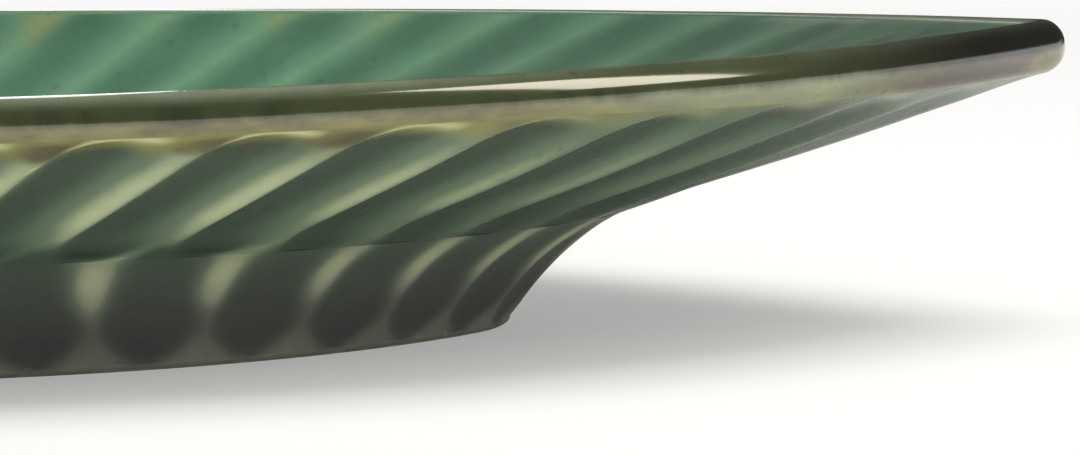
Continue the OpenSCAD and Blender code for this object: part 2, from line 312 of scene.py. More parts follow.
class LeafLines:
    """The plate's lines at every column of its wall and its foot."""

    def __init__(self, sizes):
        self.sizes = sizes
        self.wall = Columns(sizes.scoops)
        self.foot = Columns(sizes.foot_scoops)
        self.skewed = np.sin(math.pi * self.wall.across**SCOOP_SKEW)
        self.hollow = np.abs(np.sin(math.pi * self.foot.across)) ** FOOT_SCOOP_FILL
        self.widest_x = sizes.widest_from_stem - sizes.plate_len / 2
        to_stem = sizes.widest_from_stem
        reaches = np.array([sizes.plate_w / 2, sizes.plate_len - to_stem, to_stem])
        self.rim_leaf = np.array([*reaches, sizes.tip_r, sizes.stem_r])
        reaches -= [sizes.side_overhang, sizes.tip_overhang, sizes.stem_overhang]
        self.base_leaf = np.array([*reaches, sizes.foot_tip_r, sizes.foot_stem_r])
        # Hollow of the foot's scoop below each column of the wall
        shares = np.linspace(0, 1, 800)
        place = np.interp(self.wall.u, self.foot_share(shares, 1.0), shares) * sizes.foot_scoops
        self.hollow_below = np.abs(np.cos(math.pi * place)) ** FOOT_SCOOP_FILL
        self.lay_rim()
        self.lay_wall()

    def outline(self, leaf, u, side):
        """Points and level normals of a leaf outline at the shares u of the way from tip to stem end."""
        half_w, tip_reach, stem_reach, tip_r, stem_r = leaf
        front = half_arcs(half_w, tip_reach, tip_r)[2]
        rear = half_arcs(half_w, stem_reach, stem_r)[2]
        s = u * (front + rear)
        fx, fy, fnx, fny = along_half(half_w, tip_reach, tip_r, np.minimum(s, front))
        rx, ry, rnx, rny = along_half(half_w, stem_reach, stem_r, np.minimum(front + rear - s, rear))
        ahead = s <= front
        points = np.stack([self.widest_x + np.where(ahead, fx, -rx), side * np.where(ahead, fy, ry)], -1)
        normals = np.stack([np.where(ahead, fnx, -rnx), side * np.where(ahead, fny, rny)], -1)
        return points, normals

    def raised(self, points, z):
        return np.concatenate([points, np.broadcast_to(z, points.shape[:-1])[..., None]], -1)

    def wall_line(self, leaf):
        return self.outline(leaf, self.wall.u, self.wall.side)

    def foot_line(self, grow, up):
        """The foot's outline at the share up of its height, grown from its base."""
        return self.outline(self.base_leaf + grow, self.foot_share(self.foot.u, up), self.foot.side)

    def foot_share(self, u, up):
        """Share of the foot's outline at the share up of its height, for the shares u of its scoops."""
        return u + u * (1 - u) * (self.sizes.foot_spread * (u - FOOT_SPREAD_FROM) - FOOT_SWING * (1 - up))

    def lay_rim(self):
        sizes = self.sizes
        front = half_arcs(*self.rim_leaf[[0, 1, 3]])[2]
        rear = half_arcs(*self.rim_leaf[[0, 2, 4]])[2]
        widest_u = front / (front + rear)
        u = self.wall.u
        self.run = u * (front + rear)
        self.tip = np.clip(1 - u / widest_u, 0, 1)
        stem = np.clip((u - widest_u) / (1 - widest_u), 0, 1)
        low_mid = sizes.tip_h - sizes.tip_rise - sizes.lip_h / 2
        to_tip = sizes.tip_rise * self.tip**TIP_RISE_POWER
        self.lip_mid = low_mid + to_tip + sizes.stem_rise * stem**STEM_RISE_POWER
        self.rim, self.out = self.wall_line(self.rim_leaf)
        self.widest = int(round(widest_u * self.wall.count / 2))

    def lip_point(self, angle, shrink=0.0):
        """Point of the lip's section at an angle, with its radii shrunk by a share."""
        a = self.sizes.lip_w / 2 * (1 - shrink)
        b = self.sizes.lip_h / 2 * (1 - shrink)
        level = self.rim - (self.sizes.lip_w / 2 - a * np.cos(angle))[..., None] * self.out
        return self.raised(level, self.lip_mid + b * np.sin(angle))

    def lay_wall(self):
        sizes = self.sizes
        self.lip_seat = LIP_SEAT - TIP_LIP_TURN * smooth(self.tip, *TIP_LIP_FROM)
        self.wall_top = self.lip_point(self.lip_seat)
        self.inner_top = self.lip_point(LIP_INNER)
        crease_leaf = self.base_leaf + sizes.foot_splay
        self.crease = self.raised(self.wall_line(crease_leaf)[0], sizes.foot_h)
        rise = self.wall_top - self.crease
        slope = np.arctan2(rise[:, 2], np.sum(rise[:, :2] * self.out, -1))
        self.inward = np.concatenate([-self.out * np.sin(slope)[:, None], np.cos(slope)[:, None]], -1)
        steep = slope[self.widest]
        above_wall = sizes.floor_t - sizes.wall_t * math.cos(steep)
        inset = sizes.wall_t * math.sin(steep) - above_wall / math.tan(steep)
        floor_line, floor_out = self.wall_line(crease_leaf - inset)
        self.floor_z = sizes.foot_h + sizes.floor_t
        self.floor_edge = self.raised(floor_line, self.floor_z)
        self.floor_way = self.raised(-sizes.floor_blend * floor_out, 0.0)
        up = self.inner_top - self.floor_edge
        self.wall_way = sizes.floor_blend * up / np.linalg.norm(up, axis=-1, keepdims=True)

    def lip_way(self, angle):
        """Way over the lip in millimetres, from where the wall meets it outside at the plate's sides."""
        return (angle - LIP_SEAT) * (self.sizes.lip_w + self.sizes.lip_h) / 4 * 1000


class Loft:
    """Rings of one piece, each with the masks that its glaze reads."""

    def __init__(self, columns):
        self.columns = columns
        self.rings = []
        self.masks = {name: [] for name in MASKS}

    def add(self, ring, **masks):
        self.rings.append(ring)
        for name in MASKS:
            self.masks[name].append(np.broadcast_to(masks.get(name, 0.0), len(ring)))

    def lid(self, ring):
        """Faces that close a ring, from each column to the one across the leaf."""
        n = self.columns.count
        start = ring * n
        faces = []
        for i in range(n // 2):
            corners = [i, i + 1, (n - i - 1) % n, (n - i) % n]
            faces.append([start + c for c in dict.fromkeys(corners)])
        return faces

    def finished(self, name, material, closed):
        """The piece: a closed hoop of rings, or a bowl with a lid on its first and last ring."""
        n = self.columns.count
        count = len(self.rings)
        i = np.arange(n)
        faces = []
        for r in range(count if closed else count - 1):
            a, b = r * n, (r + 1) % count * n
            faces += np.stack([a + i, a + (i + 1) % n, b + (i + 1) % n, b + i], -1).tolist()
        if not closed:
            faces += [face[::-1] for face in self.lid(0)] + self.lid(count - 1)
        mesh = bpy.data.meshes.new(name)
        mesh.from_pydata(np.concatenate(self.rings).tolist(), [], faces)
        for mask in MASKS:
            layer = mesh.attributes.new(mask, "FLOAT", "POINT")
            layer.data.foreach_set("value", np.concatenate(self.masks[mask]).astype(np.float32))
        mesh.polygons.foreach_set("use_smooth", np.ones(len(mesh.polygons), dtype=bool))
        mesh.set_sharp_from_angle(angle=SHARP_BEND)
        mesh.materials.append(material)
        if mesh.validate(clean_customdata=False):
            raise RuntimeError(f"{name} has faces that do not hold together")
        piece = bpy.data.objects.new(name, mesh)
        bpy.context.scene.collection.objects.link(piece)
        return piece


def foot_dark(hollow, up):
    """Thickness of the foot's glaze at a share of a scoop's hollow and a share of the foot's height."""
    dark = (hollow - np.interp(up, FOOT_HEIGHTS, FOOT_DARK_FROM)) / 0.3 + 0.85
    return np.clip(dark, np.interp(up, FOOT_HEIGHTS, FOOT_BETWEEN), 1)


def wall_crests(lines, v, glazed, reach, band):
    """Pale crests round the upper ends of the wall's scoops, less the stain between them."""
    closing = WALL_CLOSE[1] - WALL_CLOSE[0]
    brow = (glazed - WALL_CLOSE[0] - closing * np.sqrt(np.maximum(0, lines.skewed))) * reach
    crest = np.exp(-(((brow - CREST_RISE) / CREST_HALF) ** 2)) * smooth(v, 0.7, 0.78)
    ending = smooth(lines.tip, *CREST_END)
    crest = crest * (1 - smooth(lines.wall.across, 0.5, 0.74)) * (1 - 0.8 * ending)
    stain = smooth(band, -6.5, -4) * (1 - smooth(band, -1.5, 0)) * (1 - smooth(lines.skewed, 0.2, 0.75))
    return crest - stain * (1 - ending)


def wall_bows(lines, height, pool):
    """The wall's pools, with the foot's glaze climbing between them in bows under a painted shadow line."""
    behind = 1 - smooth(lines.tip, *BOW_END)
    above = height - BOW_RISE * (1 - smooth(lines.skewed, 0.15, 0.95)) * behind
    climbed = 1 - smooth(above, -0.5, 0.5)
    pool = pool + climbed * behind * (foot_dark(lines.hollow_below, 1.0) - pool)
    # Painted shadow: a dark line in the crease's slit over each bow; under it a paler line along the bow's
    # edge.
    line = smooth(lines.skewed, 0.3, 0.85) * np.exp(-(((above - BOW_SHADOW_LINE) / BOW_SHADOW_LINE_HALF) ** 2))
    edge = np.exp(-((above / BOW_EDGE_HALF) ** 2)) * smooth(lines.skewed, 0.1, 0.5)
    return pool + (0.6 * line - 0.25 * edge) * behind


def wall_pools(lines, v, glazed, reach):
    """Glaze thickness on the outer wall: pooled in scoops, thin over ridges, with painted shade at the
    crease.
    """
    at_tip = smooth(lines.tip, 0.7, 0.95)
    near_tip = smooth(lines.tip, 0.35, 0.8)
    pool = np.interp(lines.wall.across, *GLAZE_ACROSS)
    pool = pool + at_tip * (np.interp(lines.wall.across, *GLAZE_ACROSS_TIP) - pool) + 0 * v
    # Ridges darker near the crease: painted shade under the overhang. Also darker near the top and the tip.
    darker_ridges = 0.18 * smooth(v, 0.55, 0.75) + 0.4 * (1 - smooth(v, 0.1, 0.35)) + 0.25 * at_tip
    pool = pool + (1 - pool) * np.minimum(darker_ridges, 0.6)
    open_top = smooth(lines.skewed - ramp(glazed, *WALL_CLOSE), -0.05, 0.35)
    closed = 0.3 + 0.35 * near_tip
    pool = closed + (pool - closed) * open_top
    # Slightly darker towards the tip.
    return softened(wall_bows(lines, v * reach, pool) + 0.15 * near_tip, 2)


def add_outer_wall(loft, lines):
    """Up the dish's scooped outer wall, from the crease to the lip."""
    columns = lines.wall
    v = (1 - np.cos(math.pi * np.linspace(0, 1, OUTER_ROWS)))[:, None] / 2
    worn = np.minimum(v + columns.late * np.sin(math.pi * v), 1)
    upper_end = ramp(worn, *WALL_CLOSE)
    lower_end = WALL_OPEN_CUT * ramp(-v, -WALL_OPEN, 0)
    hollow = np.maximum(0, lines.skewed - upper_end - lower_end)
    depth = softened(lines.sizes.wall_scoop * columns.deep * hollow, 2)
    depth[-1] = 0
    wall = lines.crease + v[..., None] * (lines.wall_top - lines.crease)
    belly = TIP_BELLY * np.sin(math.pi * v**1.3)
    wall[..., 2] -= belly * smooth(lines.tip, *TIP_BELLY_FROM)
    skin = SKIN_UNEVEN * unevenness(wall, 0.03) * np.sin(math.pi * v)
    lift = np.minimum(1, v / WALL_OPEN)
    x, y, z = lines.inward.T
    into = np.stack(np.broadcast_arrays(x, y, lift * z), -1)
    wall = wall + (depth + skin)[..., None] * into

    glazed = worn + GLAZE_STOP
    reach = np.linalg.norm(lines.wall_top - lines.crease, axis=-1) * 1000
    band = (v - 1) * reach + lines.lip_way(lines.lip_seat)
    ridge = wall_crests(lines, v, glazed, reach, band)
    pool = wall_pools(lines, v, glazed, reach)
    for r in range(OUTER_ROWS):
        loft.add(wall[r], pool=pool[r], ridge=ridge[r], band=band[r], run=lines.run, tip=lines.tip)


def add_inner_wall(loft, lines):
    """Down the dish's inner wall and round the blend to the floor. Returns the floor's relief and glaze."""
    sizes = lines.sizes
    v = np.linspace(1, 0, INNER_ROWS)[:, None]
    rib = np.exp(-((lines.floor_edge[:, 1] / RIB_RUN_HALF) ** 2))
    hollow = sizes.inner_scoop * lines.wall.deep * np.maximum(0, lines.skewed - ramp(v, *INNER_CLOSE))
    depth = softened(hollow, 2) * (1 - rib) - sizes.rib_h * (1 - v) * rib
    low = lines.floor_edge + lines.wall_way
    wall = low + v[..., None] * (lines.inner_top - low)
    into = (1 - v)[..., None] * np.array([0, 0, 1]) + v[..., None] * lines.inward
    skin = SKIN_UNEVEN * unevenness(wall, 0.04) * np.sin(math.pi * v)
    wall = wall - (depth + skin)[..., None] * into
    pool = np.interp(lines.wall.across, *GLAZE_ACROSS) + 0 * v
    pool = softened(0.35 + 0.5 * pool, 6)
    reach = np.linalg.norm(lines.inner_top - low, axis=-1) * 1000
    top = lines.lip_way(LIP_INNER)
    for r in range(INNER_ROWS):
        loft.add(wall[r], pool=pool[r], band=top + (1 - v[r]) * reach, run=lines.run, tip=lines.tip)
    for t in np.linspace(1, 0, BLEND_ROWS)[1:]:
        ring = lines.floor_edge + (1 - t) ** 2 * lines.floor_way + t**2 * lines.wall_way
        loft.add(ring - depth[-1][:, None] * [0, 0, 1], pool=pool[-1], band=FLOOR_BAND, tip=lines.tip)
    return depth[-1], pool[-1]


def add_floor(loft, lines, relief, pool):
    """Across the dish's floor to its midrib."""
    sizes = lines.sizes
    flat = lines.floor_edge + lines.floor_way
    stem_x, tip_x = flat[:, 0].min(), flat[:, 0].max()
    share_x = (flat[:, 0] - stem_x) / (tip_x - stem_x)
    rib_len = tip_x - stem_x - RIB_TIP_GAP - RIB_STEM_GAP
    rib_x = stem_x + RIB_STEM_GAP + rib_len * (share_x - RIB_LEAN * np.sin(math.pi * share_x))
    u = lines.wall.u
    taper = RIB_TAPER + (1 - RIB_TAPER) * u
    rib_y = lines.wall.side * sizes.rib_w / 2 * np.sqrt(np.abs(np.sin(math.pi * u))) * taper
    rib = np.stack([rib_x, rib_y, np.full(lines.wall.count, lines.floor_z)], -1)
    for w in np.linspace(1, 0, FLOOR_ROWS)[1:]:
        fade = np.where(relief < 0, 1.0, w)
        ring = w * flat + (1 - w) * rib - (fade * relief)[:, None] * [0, 0, 1]
        loft.add(ring, pool=0.7 + (pool - 0.7) * w, band=FLOOR_BAND, tip=lines.tip)
    middle = np.array([(rib_x.min() + rib_x.max()) / 2, 0, lines.floor_z])
    for t in np.linspace(0, 1, RIB_ROWS)[1:]:
        drawn_in = rib + np.array([0.03, 0.9, 0]) * t * (middle - rib)
        crest = np.array([0, 0, sizes.rib_h * math.sin(math.pi / 2 * t)])
        loft.add(drawn_in + crest, pool=0.7 - 0.6 * t, band=FLOOR_BAND, tip=lines.tip)


def leaf_dish_loft(lines):
    """The dish: under its floor, up its outer wall, over the lip's seat and down inside to the midrib."""
    loft = Loft(lines.wall)
    spine = lines.crease * [0.6, 0, 1]
    for way_out in np.linspace(0.05, 0.97, 6):
        loft.add(spine + way_out * (lines.crease - spine), pool=0.7, band=UNDER_BAND)
    add_outer_wall(loft, lines)
    add_floor(loft, lines, *add_inner_wall(loft, lines))
    return loft


def rim_coil_loft(lines):
    """The coil: from the wall's outer edge over the lip to its inner edge. The flat between is its seat."""
    loft = Loft(lines.wall)
    for way_over in np.linspace(0, 1, LIP_ROWS):
        angle = lines.lip_seat + way_over * (LIP_INNER - lines.lip_seat)
        held = LIP_UNEVEN * unevenness(lines.lip_point(angle), 0.05) * math.sin(math.pi * way_over)
        ring = lines.lip_point(angle, held)
        loft.add(ring, pool=0.3 + 0.4 * way_over, band=lines.lip_way(angle), run=lines.run, tip=lines.tip)
    return loft


def foot_ring_loft(lines):
    """The foot: out under its standing edge, up its scooped outer face, across its seat and down inside."""
    sizes = lines.sizes
    loft = Loft(lines.foot)
    edge = sizes.foot_edge

    def level(grow, z, bare):
        up = z / sizes.foot_h
        loft.add(lines.raised(lines.foot_line(grow, up)[0], z), pool=0.5, up=up, bare=bare)

    for angle in np.linspace(0, math.pi / 2, EDGE_ROWS):
        height = edge * (1 - math.sin(angle))
        level(-sizes.foot_wall + height, height, 1.0)
    for way_out in np.linspace(0, 1, EDGE_ROWS)[1:-1]:
        level(-sizes.foot_wall + edge + way_out * (sizes.foot_wall - 2 * edge), 0.0, 1.0)

    up = np.linspace(edge / sizes.foot_h, 1, FOOT_ROWS)[:, None]
    reach = sizes.foot_splay * ((1 - FOOT_BLEND) * up + FOOT_BLEND * up**FOOT_BLEND_POWER)
    off_mid = (up - FOOT_SCOOP_MID) / np.where(up < FOOT_SCOOP_MID, FOOT_SCOOP_MID, 1 - FOOT_SCOOP_MID)
    hollow = np.maximum(0, lines.hollow - FOOT_CLOSE * off_mid**2)
    depth = softened(sizes.foot_scoop * lines.foot.deep * hollow, 2)
    depth[-1] = 0
    pool = softened(foot_dark(lines.hollow, up), 3)
    for angle in np.linspace(0, math.pi / 2, EDGE_ROWS)[:-1]:
        grow = reach[0, 0] - edge * (1 - math.sin(angle))
        level(grow, edge * (1 - math.cos(angle)), 1 - 0.8 * math.sin(angle))
    for r in range(FOOT_ROWS):
        line, out = lines.foot_line(reach[r, 0], up[r, 0])
        ring = lines.raised(line - depth[r][:, None] * out, up[r, 0] * sizes.foot_h)
        loft.add(ring, pool=pool[r], up=up[r, 0], bare=max(0.0, 0.4 - r / 4))

    top = sizes.foot_splay * (1 - FOOT_BLEND) - sizes.foot_wall
    low = edge / sizes.foot_h * sizes.foot_splay * (1 - FOOT_BLEND) - sizes.foot_wall
    for way_down in np.linspace(0, 1, FOOT_INNER_ROWS)[:-1]:
        z = sizes.foot_h + way_down * (edge - sizes.foot_h)
        level(top + way_down * (low - top), z, max(0.0, 8 * way_down - 7))
    return loft


def feed(tree, socket, value):
    if isinstance(value, NodeSocket):
        tree.links.new(value, socket)
    else:
        socket.default_value = value


def shader_node(tree, kind, inputs=None, **settings):
    """A node beside the last one, with its inputs fed by values or by other nodes' sockets."""
    made = tree.nodes.new(kind)
    place = len(tree.nodes)
    made.location = (220 * (place % 9), -260 * (place // 9))
    for name, value in settings.items():
        setattr(made, name, value)
    for name, value in (inputs or {}).items():
        feed(tree, made.inputs[name], value)
    return made


def maths(tree, operation, first, second, clamp=False):
    inputs = {0: first, 1: second}
    return shader_node(tree, "ShaderNodeMath", inputs, operation=operation, use_clamp=clamp).outputs[0]


def plus(tree, first, second, clamp=False):
    return maths(tree, "ADD", first, second, clamp)


def minus(tree, first, second):
    return maths(tree, "SUBTRACT", first, second)


def times(tree, first, second, clamp=False):
    return maths(tree, "MULTIPLY", first, second, clamp)


def graded(tree, value, low, high, last=1.0, first=0.0):
    """first below low, last above high and a smooth grade between."""
    inputs = {"Value": value, "From Min": low, "From Max": high, "To Min": first, "To Max": last}
    made = shader_node(tree, "ShaderNodeMapRange", inputs, interpolation_type="SMOOTHSTEP")
    return made.outputs["Result"]


def blend(tree, factor, first, second):
    inputs = {0: factor, 6: first, 7: second}
    return shader_node(tree, "ShaderNodeMix", inputs, data_type="RGBA").outputs[2]


def mask(tree, name):
    return shader_node(tree, "ShaderNodeAttribute", attribute_name=name).outputs["Fac"]


def noise(tree, vector, scale, detail=3.0, roughness=0.5):
    inputs = {"Vector": vector, "Scale": scale, "Detail": detail, "Roughness": roughness}
    return shader_node(tree, "ShaderNodeTexNoise", inputs).outputs["Fac"]


def new_group(name, numbers, colours, results):
    """An empty node group with inputs for numbers and colours. It gives a colour, and numbers as results."""
    tree = bpy.data.node_groups.new(name, "ShaderNodeTree")
    sockets = [(label, "INPUT", "NodeSocketFloat") for label in numbers]
    sockets += [(label, "INPUT", "NodeSocketColor") for label in colours]
    sockets += [("Color", "OUTPUT", "NodeSocketColor")]
    sockets += [(label, "OUTPUT", "NodeSocketFloat") for label in results]
    for label, way, kind in sockets:
        tree.interface.new_socket(name=label, in_out=way, socket_type=kind)
    return tree, shader_node(tree, "NodeGroupInput").outputs, shader_node(tree, "NodeGroupOutput").inputs


def opaque(shade):
    return (*shade, 1.0)


def grey(value):
    return opaque([value] * 3)


def object_place(tree):
    return shader_node(tree, "ShaderNodeTexCoord").outputs["Object"]


# A glaze's shades, from thin to pooled
SHADES = ("Thin", "Half", "Full", "Deep")


def glaze_break_group():
    """Colour of a glaze that is pale where it is thin over ridges and dark where it pools in scoops."""
    tree, given, out = new_group("Glaze Break", ("Pool", "Mottle"), SHADES, ("Thickness",))
    place = object_place(tree)
    cloud = minus(tree, noise(tree, place, 90.0, 4.0, 0.55), 0.5)
    grain = minus(tree, noise(tree, place, 620.0, 3.0, 0.6), 0.5)
    uneven = times(tree, plus(tree, cloud, times(tree, grain, 0.5)), given["Mottle"])
    thick = plus(tree, given["Pool"], uneven)
    shade = blend(tree, graded(tree, thick, -0.05, 0.55), given["Thin"], given["Half"])
    shade = blend(tree, graded(tree, thick, 0.25, 0.85), shade, given["Full"])
    shade = blend(tree, graded(tree, thick, 0.6, 1.1), shade, given["Deep"])
    # Past full thickness the colour goes to black: painted shadow, reached in the crease's slit.
    shade = blend(tree, graded(tree, thick, 1.0, 2.0), shade, grey(0.0))
    feed(tree, out["Color"], shade)
    feed(tree, out["Thickness"], thick)
    return tree


def along_rim(tree, given, stretch, scale, detail, roughness):
    """Noise about 0 along the rim, with stretch metres of it for each millimetre over the rim."""
    vector = {"X": given["Run"], "Y": times(tree, given["Band"], stretch)}
    place = shader_node(tree, "ShaderNodeCombineXYZ", vector).outputs[0]
    return minus(tree, noise(tree, place, scale, detail, roughness), 0.5)


def lower_lip(tree, given, streak, patch):
    """Under the lip and on its lower side: run-off, stain, mottling, crests over scoops, painted reflection.
    """
    band = given["Band"]
    tip = given["Tip"]
    run_off = graded(tree, plus(tree, band, times(tree, streak, 6.0)), -6.5, -2.6)
    behind = graded(tree, tip, 0.35, 0.75, first=0.9, last=0.1)
    shade = blend(tree, times(tree, run_off, behind), given["Outer"], given["Tan"])
    brown = times(tree, graded(tree, band, -11.0, -6.0), graded(tree, patch, 0.52, 0.66, 0.4))
    shade = blend(tree, brown, shade, given["Stain"])

    stroke = along_rim(tree, given, 0.0035, 150.0, 3.0, 0.55)
    uneven = plus(tree, times(tree, stroke, 2.0), streak)
    uneven = plus(tree, uneven, times(tree, minus(tree, patch, 0.5), 2.4))
    # Darker towards the tip, then pale at its very end: a painted reflection of the white table.
    uneven = minus(tree, uneven, graded(tree, tip, 0.72, 0.82, 0.8))
    uneven = plus(tree, uneven, graded(tree, tip, 0.92, 1.0, 0.7))
    mottled = blend(tree, graded(tree, uneven, -0.9, 1.1), given["Stain"], given["Tan"])
    # Greyer and paler towards the tip: partly a painted reflection of the white table.
    paler = minus(tree, graded(tree, tip, 0.5, 0.66, 0.45), graded(tree, tip, 0.7, 0.86, 0.45))
    mottled = blend(tree, paler, mottled, given["Edge"])
    # The lip's lower side: mottled tan and stain, partly run-off glaze, partly a painted reflection of the
    # table.
    lower = plus(tree, band, graded(tree, tip, 0.45, 0.95, 2.6))
    shade = blend(tree, graded(tree, lower, -1.2, 1.0), shade, mottled)

    crest = times(tree, given["Ridge"], graded(tree, patch, 0.2, 0.45))
    shade = blend(tree, crest, shade, given["Crest"])
    stain = times(tree, given["Ridge"], -0.75, clamp=True)
    stain = times(tree, stain, graded(tree, patch, 0.42, 0.56))
    return blend(tree, stain, shade, given["Stain"])


def lip_top(tree, given, streak, patch, shade):
    """Over the lip: olive with patches of iron, all iron at the tip; the dark is partly painted reflection.
    """
    ragged = plus(tree, given["Band"], times(tree, streak, 2.4))
    patches = graded(tree, plus(tree, patch, streak), 0.5, 0.85, 0.5)
    # Near black towards the tip: partly the iron glaze, partly a painted reflection of the dark room.
    dark = maths(tree, "MAXIMUM", graded(tree, given["Tip"], 0.62, 0.92), patches)
    top = blend(tree, dark, given["Olive"], given["Iron"])
    return blend(tree, graded(tree, ragged, 0.8, 2.2), shade, top)


def inner_lip(tree, given, streak, patch, shade):
    """On the lip's inner side: a pale edge, partly a painted highlight, and then the dish's own glaze."""
    tip = given["Tip"]
    later = graded(tree, tip, 0.75, 0.95, 1.2)
    inside = minus(tree, plus(tree, given["Band"], times(tree, streak, 1.2)), later)
    # The pale edge is glaze breaking thin over the lip; its thin line at the top is partly a painted
    # highlight.
    worn = graded(tree, patch, 0.4, 0.6, first=0.35, last=0.7)
    fading = graded(tree, tip, 0.4, 0.6, first=1.0, last=0.25)
    worn = times(tree, times(tree, worn, fading), graded(tree, inside, 3.1, 6.5))
    worn = maths(tree, "MAXIMUM", worn, graded(tree, inside, 5.5, 6.5, 0.5))
    shade = blend(tree, worn, shade, given["Edge"])
    return blend(tree, graded(tree, inside, 7.2, 8.6), shade, given["Inner"])


def iron_rim_group():
    """Iron glaze over the lip, with run-off on the wall under it and green inside it, and painted
    reflections.
    """
    shades = ("Outer", "Inner", "Edge", "Crest", "Tan", "Stain", "Olive", "Iron")
    tree, given, out = new_group("Iron Rim", ("Band", "Run", "Tip", "Ridge"), shades, ())
    streak = along_rim(tree, given, 0.00022, 130.0, 4.0, 0.6)
    patch = noise(tree, object_place(tree), 55.0, 3.0, 0.5)
    shade = lower_lip(tree, given, streak, patch)
    shade = lip_top(tree, given, streak, patch, shade)
    shade = inner_lip(tree, given, streak, patch, shade)
    feed(tree, out["Color"], shade)
    return tree


def glaze_skin_group():
    """The fired surface: iron specks, a faint orange-peel and gloss that dulls where the glaze is thin."""
    numbers = ("Thickness", "Specks", "Dull")
    tree, given, out = new_group("Glaze Skin", numbers, ("Color",), ("Roughness", "Height"))
    place = object_place(tree)
    cells = shader_node(tree, "ShaderNodeTexVoronoi", {"Vector": place, "Scale": 230.0}).outputs
    chance = shader_node(tree, "ShaderNodeSeparateColor", {"Color": cells["Color"]}).outputs[0]
    speck = maths(tree, "LESS_THAN", cells["Distance"], times(tree, chance, 0.16))
    speck = times(tree, speck, given["Specks"])
    feed(tree, out["Color"], blend(tree, speck, given["Color"], (0.03, 0.028, 0.02, 1)))
    thin = minus(tree, 1.0, given["Thickness"])
    patches = times(tree, noise(tree, place, 160.0, 3.0, 0.6), 0.16)
    rough = plus(tree, times(tree, thin, 0.10), patches)
    feed(tree, out["Roughness"], plus(tree, rough, given["Dull"], clamp=True))
    peel = times(tree, noise(tree, place, 420.0, 2.0, 0.5), 0.6)
    fine = times(tree, noise(tree, place, 2200.0, 2.0, 0.5), 0.12)
    pit = times(tree, speck, -0.4)
    feed(tree, out["Height"], plus(tree, plus(tree, peel, fine), pit))
    return tree


def place_group(tree, name, make, inputs):
    """A node of the named group, which is made on its first use."""
    group = bpy.data.node_groups.get(name) or make()
    return shader_node(tree, "ShaderNodeGroup", inputs, node_tree=group).outputs


def broken_glaze(tree, glazes, prefix, mottle, pool=None):
    """The glaze with the four shades of a prefix, by its own pools or by the pool that is given."""
    inputs = {"Pool": pool or mask(tree, "pool"), "Mottle": mottle}
    inputs.update({name: opaque(getattr(glazes, prefix + name.lower())) for name in SHADES})
    return place_group(tree, "Glaze Break", glaze_break_group, inputs)


def outer_glaze(tree, glazes, pool=None):
    return broken_glaze(tree, glazes, "", mottle=0.14, pool=pool)


def inner_glaze(tree, glazes):
    """Jade green inside the dish, darker towards the tip and stained under the lip."""
    shade = broken_glaze(tree, glazes, "inner_", mottle=0.3)["Color"]
    band = mask(tree, "band")
    # Darker towards the tip, most on the wall's upper part.
    dull = graded(tree, band, 15.0, 55.0, first=0.85, last=0.35)
    dull = times(tree, graded(tree, mask(tree, "tip"), 0.3, 0.95), dull)
    shade = blend(tree, dull, shade, opaque(glazes.deep))
    stained = graded(tree, noise(tree, object_place(tree), 70.0), 0.35, 0.65, 0.9)
    for name, low, high in (("band", 7.0, 21.0), ("pool", 0.35, 0.85), ("tip", 0.2, 0.6)):
        stained = times(tree, stained, graded(tree, mask(tree, name), low, high, first=1.0, last=0.0))
    return blend(tree, stained, shade, opaque(glazes.tan))


def rimmed_glaze(tree, glazes, outer, inner):
    """The iron rim's colour between the colours of the wall outside and inside it."""
    inputs = {name.capitalize(): mask(tree, name) for name in ("band", "run", "tip", "ridge")}
    for name in ("edge", "crest", "tan", "stain", "olive", "iron"):
        inputs[name.capitalize()] = opaque(getattr(glazes, name))
    inputs.update(Outer=outer, Inner=inner)
    return place_group(tree, "Iron Rim", iron_rim_group, inputs)["Color"]


def rim_gloss(tree, ior):
    """Reflections of a glaze under a clear coat that is full over the lip and thin on the walls."""
    band = mask(tree, "band")
    coat = graded(tree, band, -1.0, 2.0, first=0.04, last=1.0)
    coat = minus(tree, coat, graded(tree, band, 6.8, 8.4, 0.96))
    return {"IOR": ior, "Coat Weight": coat, "Coat Roughness": 0.09, "Coat IOR": 1.75}


def fired(tree, shade, thickness, specks, dull, relief, gloss):
    """Ends a material's tree with a glaze's fired skin. gloss holds the inputs for its reflections."""
    inputs = {"Color": shade, "Thickness": thickness, "Specks": specks, "Dull": dull}
    skin = place_group(tree, "Glaze Skin", glaze_skin_group, inputs)
    height = {"Strength": relief, "Distance": 0.0004, "Height": skin["Height"]}
    body = shader_node(tree, "ShaderNodeBsdfPrincipled", {
        "Base Color": skin["Color"],
        "Roughness": skin["Roughness"],
        "Normal": shader_node(tree, "ShaderNodeBump", height).outputs["Normal"],
        **gloss,
    })
    shader_node(tree, "ShaderNodeOutputMaterial", {"Surface": body.outputs["BSDF"]})


def new_material(name):
    material = bpy.data.materials.new(name)
    material.use_nodes = True
    material.node_tree.nodes.clear()
    return material, material.node_tree


def green_glaze(glazes):
    """Reactive green glaze of the dish, with the rim's run-off under the lip."""
    material, tree = new_material("green_leaf_glaze")
    outer = outer_glaze(tree, glazes)
    shade = rimmed_glaze(tree, glazes, outer["Color"], inner_glaze(tree, glazes))
    inside = graded(tree, mask(tree, "band"), 9.0, 12.0, 0.35)
    dull = plus(tree, times(tree, inside, graded(tree, mask(tree, "tip"), 0.4, 0.75)), 0.18)
    gloss = rim_gloss(tree, ior=1.2)
    fired(tree, shade, outer["Thickness"], specks=0.15, dull=dull, relief=0.25, gloss=gloss)
    return material


def brown_glaze(glazes):
    """Glossy iron glaze of the lip, green again on its inner side, with painted reflections in its colour.
    """
    material, tree = new_material("iron_brown_rim_glaze")
    shade = rimmed_glaze(tree, glazes, opaque(glazes.tan), inner_glaze(tree, glazes))
    gloss = rim_gloss(tree, ior=1.3)
    fired(tree, shade, thickness=0.8, specks=0.3, dull=0.10, relief=0.15, gloss=gloss)
    return material


